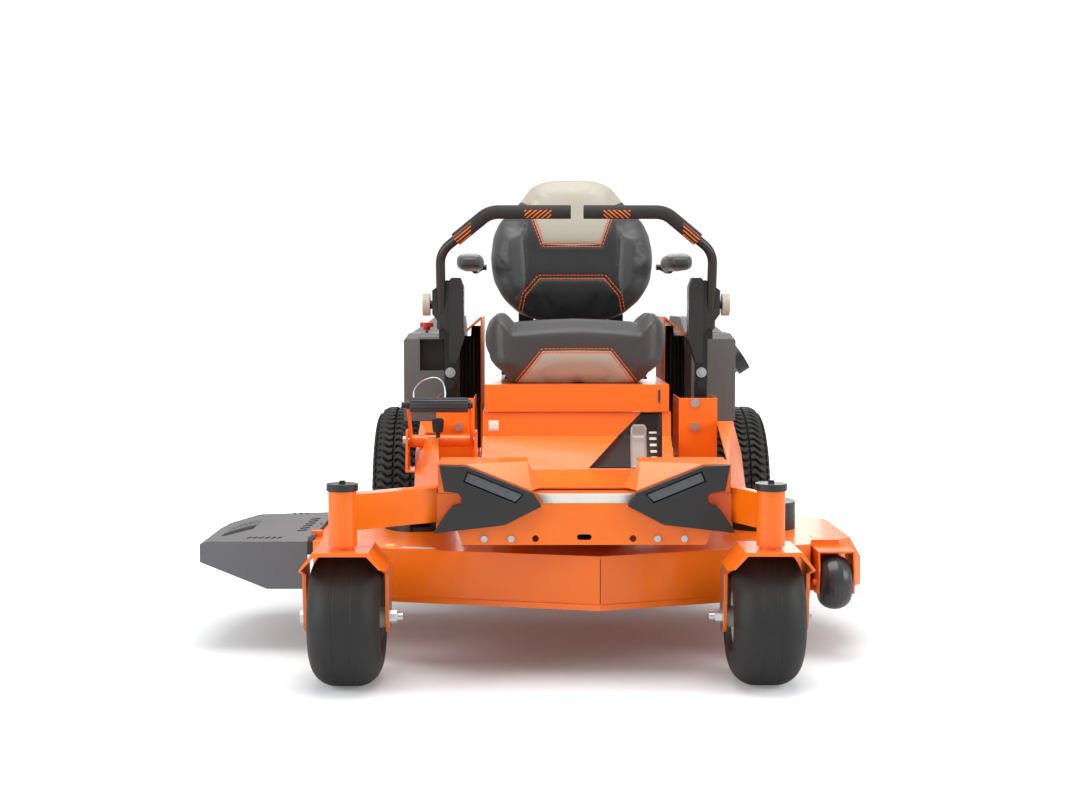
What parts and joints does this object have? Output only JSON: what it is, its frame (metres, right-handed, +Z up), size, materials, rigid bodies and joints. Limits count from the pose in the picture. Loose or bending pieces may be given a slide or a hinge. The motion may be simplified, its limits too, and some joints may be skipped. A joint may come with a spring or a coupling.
{
  "type": "zero turn mower",
  "caption": "Ride-on mower steered by two lap bars, with swivelling front casters, large rear drive wheels, padded seat and belly-mounted cutting deck with side discharge.",
  "frame": {"origin": "middle of the bounding box, on the ground plane the wheels stand on", "axes": "-Y forwards, +Y rearwards, -X the machine's right (discharge side), +Z up"},
  "size_m": [1.482, 1.8997, 1.108],
  "materials": {
    "orange_paint": "gloss",
    "black_plastic": "textured",
    "clear_lens": "clear",
    "charcoal_plastic": "fine grain",
    "tank_plastic": "matte",
    "cast_aluminium": "as cast",
    "black_paint": "satin",
    "bare_steel": "plated",
    "red_plastic": "gloss",
    "tyre_rubber": "matte",
    "grey_rim": "satin",
    "foam_rubber": "matte",
    "vinyl": "grained",
    "cast_iron": "as cast",
    "belt_rubber": "matte",
    "chute_plastic": "matte",
    "blade_steel": "painted"
  },
  "bodies": {
    "chassis": {"frame_rails": "orange_paint", "front_axle": "orange_paint", "pivot_bearings": "black_plastic", "front_cowl": "orange_paint", "headlight_housings": "black_plastic", "headlight_lenses": "clear_lens", "foot_pan": "orange_paint", "seat_box": "orange_paint", "control_towers": "orange_paint", "right_fender": "charcoal_plastic", "left_fender": "charcoal_plastic", "fuel_tank": "tank_plastic", "engine_block": "cast_aluminium", "blower_housing": "black_paint", "muffler": "bare_steel", "engine_guard": "orange_paint", "battery": "black_plastic", "transaxles": "cast_aluminium", "frame_bolts": "bare_steel"},
    "fuel_cap": {"fuel_cap": "black_plastic"},
    "pto_knob": {"pto_knob": "red_plastic"},
    "throttle_lever": {"throttle_lever": "black_plastic"},
    "ignition_key": {"ignition_key": "black_plastic"},
    "right_fork": {"right_fork": "orange_paint"},
    "left_fork": {"left_fork": "orange_paint"},
    "right_caster_wheel": {"right_caster_tyre": "tyre_rubber", "right_caster_rim": "grey_rim"},
    "left_caster_wheel": {"left_caster_tyre": "tyre_rubber", "left_caster_rim": "grey_rim"},
    "right_drive_wheel": {"right_drive_tyre": "tyre_rubber", "right_drive_rim": "grey_rim"},
    "left_drive_wheel": {"left_drive_tyre": "tyre_rubber", "left_drive_rim": "grey_rim"},
    "right_lever": {"right_control_lever": "bare_steel"},
    "left_lever": {"left_control_lever": "bare_steel"},
    "right_bar": {"right_lap_bar": "black_paint", "right_grip": "foam_rubber", "right_shroud": "black_plastic"},
    "left_bar": {"left_lap_bar": "black_paint", "left_grip": "foam_rubber", "left_shroud": "black_plastic"},
    "seat_base": {"seat_pan": "orange_paint"},
    "seat": {"seat_slide": "black_paint", "seat_cushion": "vinyl", "seat_back": "vinyl"},
    "right_armrest": {"right_armrest": "vinyl"},
    "left_armrest": {"left_armrest": "vinyl"},
    "deck": {"deck_shell": "orange_paint", "pulley_covers": "black_plastic", "spindle_housings": "cast_iron", "deck_belt": "belt_rubber"},
    "chute": {"discharge_chute": "chute_plastic"},
    "scalp_roller": {"scalp_roller": "chute_plastic"},
    "lift_pedal": {"lift_pedal": "black_paint"},
    "front_lift_shaft": {"front_lift_shaft": "bare_steel"},
    "rear_lift_shaft": {"rear_lift_shaft": "bare_steel"},
    "right_blade": {"right_blade": "blade_steel"},
    "middle_blade": {"middle_blade": "blade_steel"},
    "left_blade": {"left_blade": "blade_steel"},
    "engine_pulley": {"engine_pulley": "bare_steel"}
  },
  "joints": [
    {"name": "right_caster_swivel", "type": "hinge", "parent": "chassis", "child": "right_fork", "pos_m": [-0.382, -0.89015, 0.35], "axis": [0, 0, 1], "continuous": true},
    {"name": "right_caster_roll", "type": "hinge", "parent": "right_fork", "child": "right_caster_wheel", "pos_m": [-0.382, -0.81015, 0.1397], "axis": [1, 0, 0], "continuous": true},
    {"name": "right_drive_wheel_turn", "type": "hinge", "parent": "chassis", "child": "right_drive_wheel", "pos_m": [-0.322, 0.34985, 0.244], "axis": [1, 0, 0], "continuous": true},
    {"name": "right_lever_drive", "type": "hinge", "parent": "chassis", "child": "right_lever", "pos_m": [-0.185, -0.21015, 0.52], "axis": [1, 0, 0], "range_deg": [-15, 15]},
    {"name": "right_bar_swing", "type": "hinge", "parent": "right_lever", "child": "right_bar", "pos_m": [-0.2, -0.21015, 0.582], "axis": [0, -1, 0], "range_deg": [0, 45]},
    {"name": "right_armrest_fold", "type": "hinge", "parent": "seat", "child": "right_armrest", "pos_m": [-0.135, 0.19985, 0.868], "axis": [-1, 0, 0], "range_deg": [0, 90]},
    {"name": "left_caster_swivel", "type": "hinge", "parent": "chassis", "child": "left_fork", "pos_m": [0.468, -0.89015, 0.35], "axis": [0, 0, 1], "continuous": true},
    {"name": "left_caster_roll", "type": "hinge", "parent": "left_fork", "child": "left_caster_wheel", "pos_m": [0.468, -0.81015, 0.1397], "axis": [1, 0, 0], "continuous": true},
    {"name": "left_drive_wheel_turn", "type": "hinge", "parent": "chassis", "child": "left_drive_wheel", "pos_m": [0.524, 0.34985, 0.244], "axis": [1, 0, 0], "continuous": true},
    {"name": "left_lever_drive", "type": "hinge", "parent": "chassis", "child": "left_lever", "pos_m": [0.387, -0.21015, 0.52], "axis": [1, 0, 0], "range_deg": [-15, 15]},
    {"name": "left_bar_swing", "type": "hinge", "parent": "left_lever", "child": "left_bar", "pos_m": [0.402, -0.21015, 0.582], "axis": [0, 1, 0], "range_deg": [0, 45]},
    {"name": "left_armrest_fold", "type": "hinge", "parent": "seat", "child": "left_armrest", "pos_m": [0.337, 0.19985, 0.868], "axis": [-1, 0, 0], "range_deg": [0, 90]},
    {"name": "seat_tilt", "type": "hinge", "parent": "chassis", "child": "seat_base", "pos_m": [0.101, -0.27015, 0.53], "axis": [1, 0, 0], "range_deg": [0, 15]},
    {"name": "seat_slide", "type": "slide", "parent": "seat_base", "child": "seat", "axis": [0, 1, 0], "range_m": [0, 0.1]},
    {"name": "deck_lift", "type": "slide", "parent": "chassis", "child": "deck", "axis": [0, 0, 1], "range_m": [-0.076, 0]},
    {"name": "front_lift_turn", "type": "hinge", "parent": "chassis", "child": "front_lift_shaft", "pos_m": [0.101, -0.63222, 0.335], "axis": [1, 0, 0], "range_deg": [-48, 0]},
    {"name": "rear_lift_turn", "type": "hinge", "parent": "chassis", "child": "rear_lift_shaft", "pos_m": [0.101, -0.03308, 0.335], "axis": [1, 0, 0], "range_deg": [0, 48]},
    {"name": "pedal_turn", "type": "hinge", "parent": "chassis", "child": "lift_pedal", "pos_m": [-0.209, -0.45015, 0.467], "axis": [1, 0, 0], "range_deg": [-26, 0]},
    {"name": "chute_lift", "type": "hinge", "parent": "deck", "child": "chute", "pos_m": [-0.493, -0.29015, 0.259], "axis": [0, 1, 0], "range_deg": [0, 85]},
    {"name": "scalp_roller_turn", "type": "hinge", "parent": "deck", "child": "scalp_roller", "pos_m": [0.654, -0.59015, 0.17], "axis": [1, 0, 0], "continuous": true},
    {"name": "right_blade_turn", "type": "hinge", "parent": "deck", "child": "right_blade", "pos_m": [-0.264, -0.32515, 0.2], "axis": [0, 0, 1], "continuous": true},
    {"name": "middle_blade_turn", "type": "hinge", "parent": "deck", "child": "middle_blade", "pos_m": [0.131, -0.49015, 0.2], "axis": [0, 0, 1], "continuous": true},
    {"name": "left_blade_turn", "type": "hinge", "parent": "deck", "child": "left_blade", "pos_m": [0.526, -0.32515, 0.2], "axis": [0, 0, 1], "continuous": true},
    {"name": "engine_pulley_turn", "type": "hinge", "parent": "chassis", "child": "engine_pulley", "pos_m": [0.101, 0.61485, 0.3], "axis": [0, 0, 1], "continuous": true},
    {"name": "fuel_cap_turn", "type": "hinge", "parent": "chassis", "child": "fuel_cap", "pos_m": [0.5181, 0.10985, 0.6198], "axis": [0.8387, 0, 0.5446], "range_deg": [0, 90]},
    {"name": "pto_pull", "type": "slide", "parent": "chassis", "child": "pto_knob", "axis": [0, 0, 1], "range_m": [0, 0.012]},
    {"name": "throttle_move", "type": "hinge", "parent": "chassis", "child": "throttle_lever", "pos_m": [-0.229, 0.05985, 0.672], "axis": [1, 0, 0], "range_deg": [-18, 18]},
    {"name": "key_turn", "type": "hinge", "parent": "chassis", "child": "ignition_key", "pos_m": [-0.224, -0.01015, 0.69], "axis": [0, 0, -1], "range_deg": [0, 90]}
  ],
  "couplings": [
    {"joint": "front_lift_turn", "follows": "deck_lift", "rad_per_m": 10.829},
    {"joint": "rear_lift_turn", "follows": "deck_lift", "rad_per_m": -10.829},
    {"joint": "pedal_turn", "follows": "deck_lift", "rad_per_m": 5.8},
    {"joint": "left_blade_turn", "follows": "right_blade_turn", "ratio": 1},
    {"joint": "middle_blade_turn", "follows": "right_blade_turn", "ratio": 1}
  ]
}
